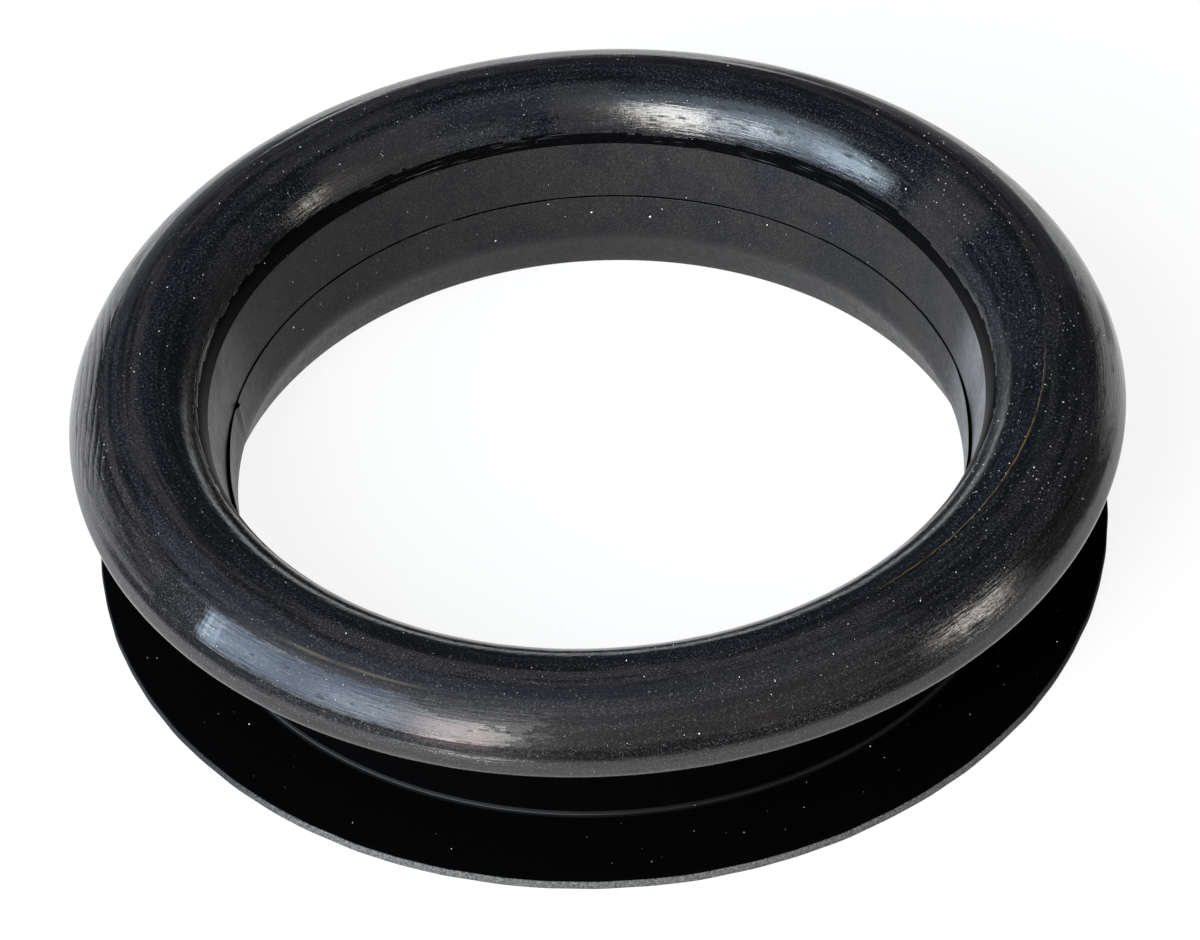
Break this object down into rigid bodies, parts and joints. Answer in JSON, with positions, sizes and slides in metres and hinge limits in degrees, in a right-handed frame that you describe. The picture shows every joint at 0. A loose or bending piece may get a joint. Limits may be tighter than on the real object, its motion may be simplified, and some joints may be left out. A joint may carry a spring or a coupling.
{
  "type": "rubber grommet",
  "caption": "Round moulded rubber grommet with a thick rounded collar, a deep panel groove and a thin flat flange.",
  "frame": {"origin": "on the ring's axis, in the plane of the flange's underside", "axes": "+Z along the bore's axis, from the thin flange towards the thick collar"},
  "size_m": [0.102, 0.102, 0.0222],
  "materials": {
    "rubber": "glossy black moulded rubber on the collar, matte in the bore"
  },
  "bodies": {
    "root": {"grommet": "rubber"}
  },
  "joints": []
}
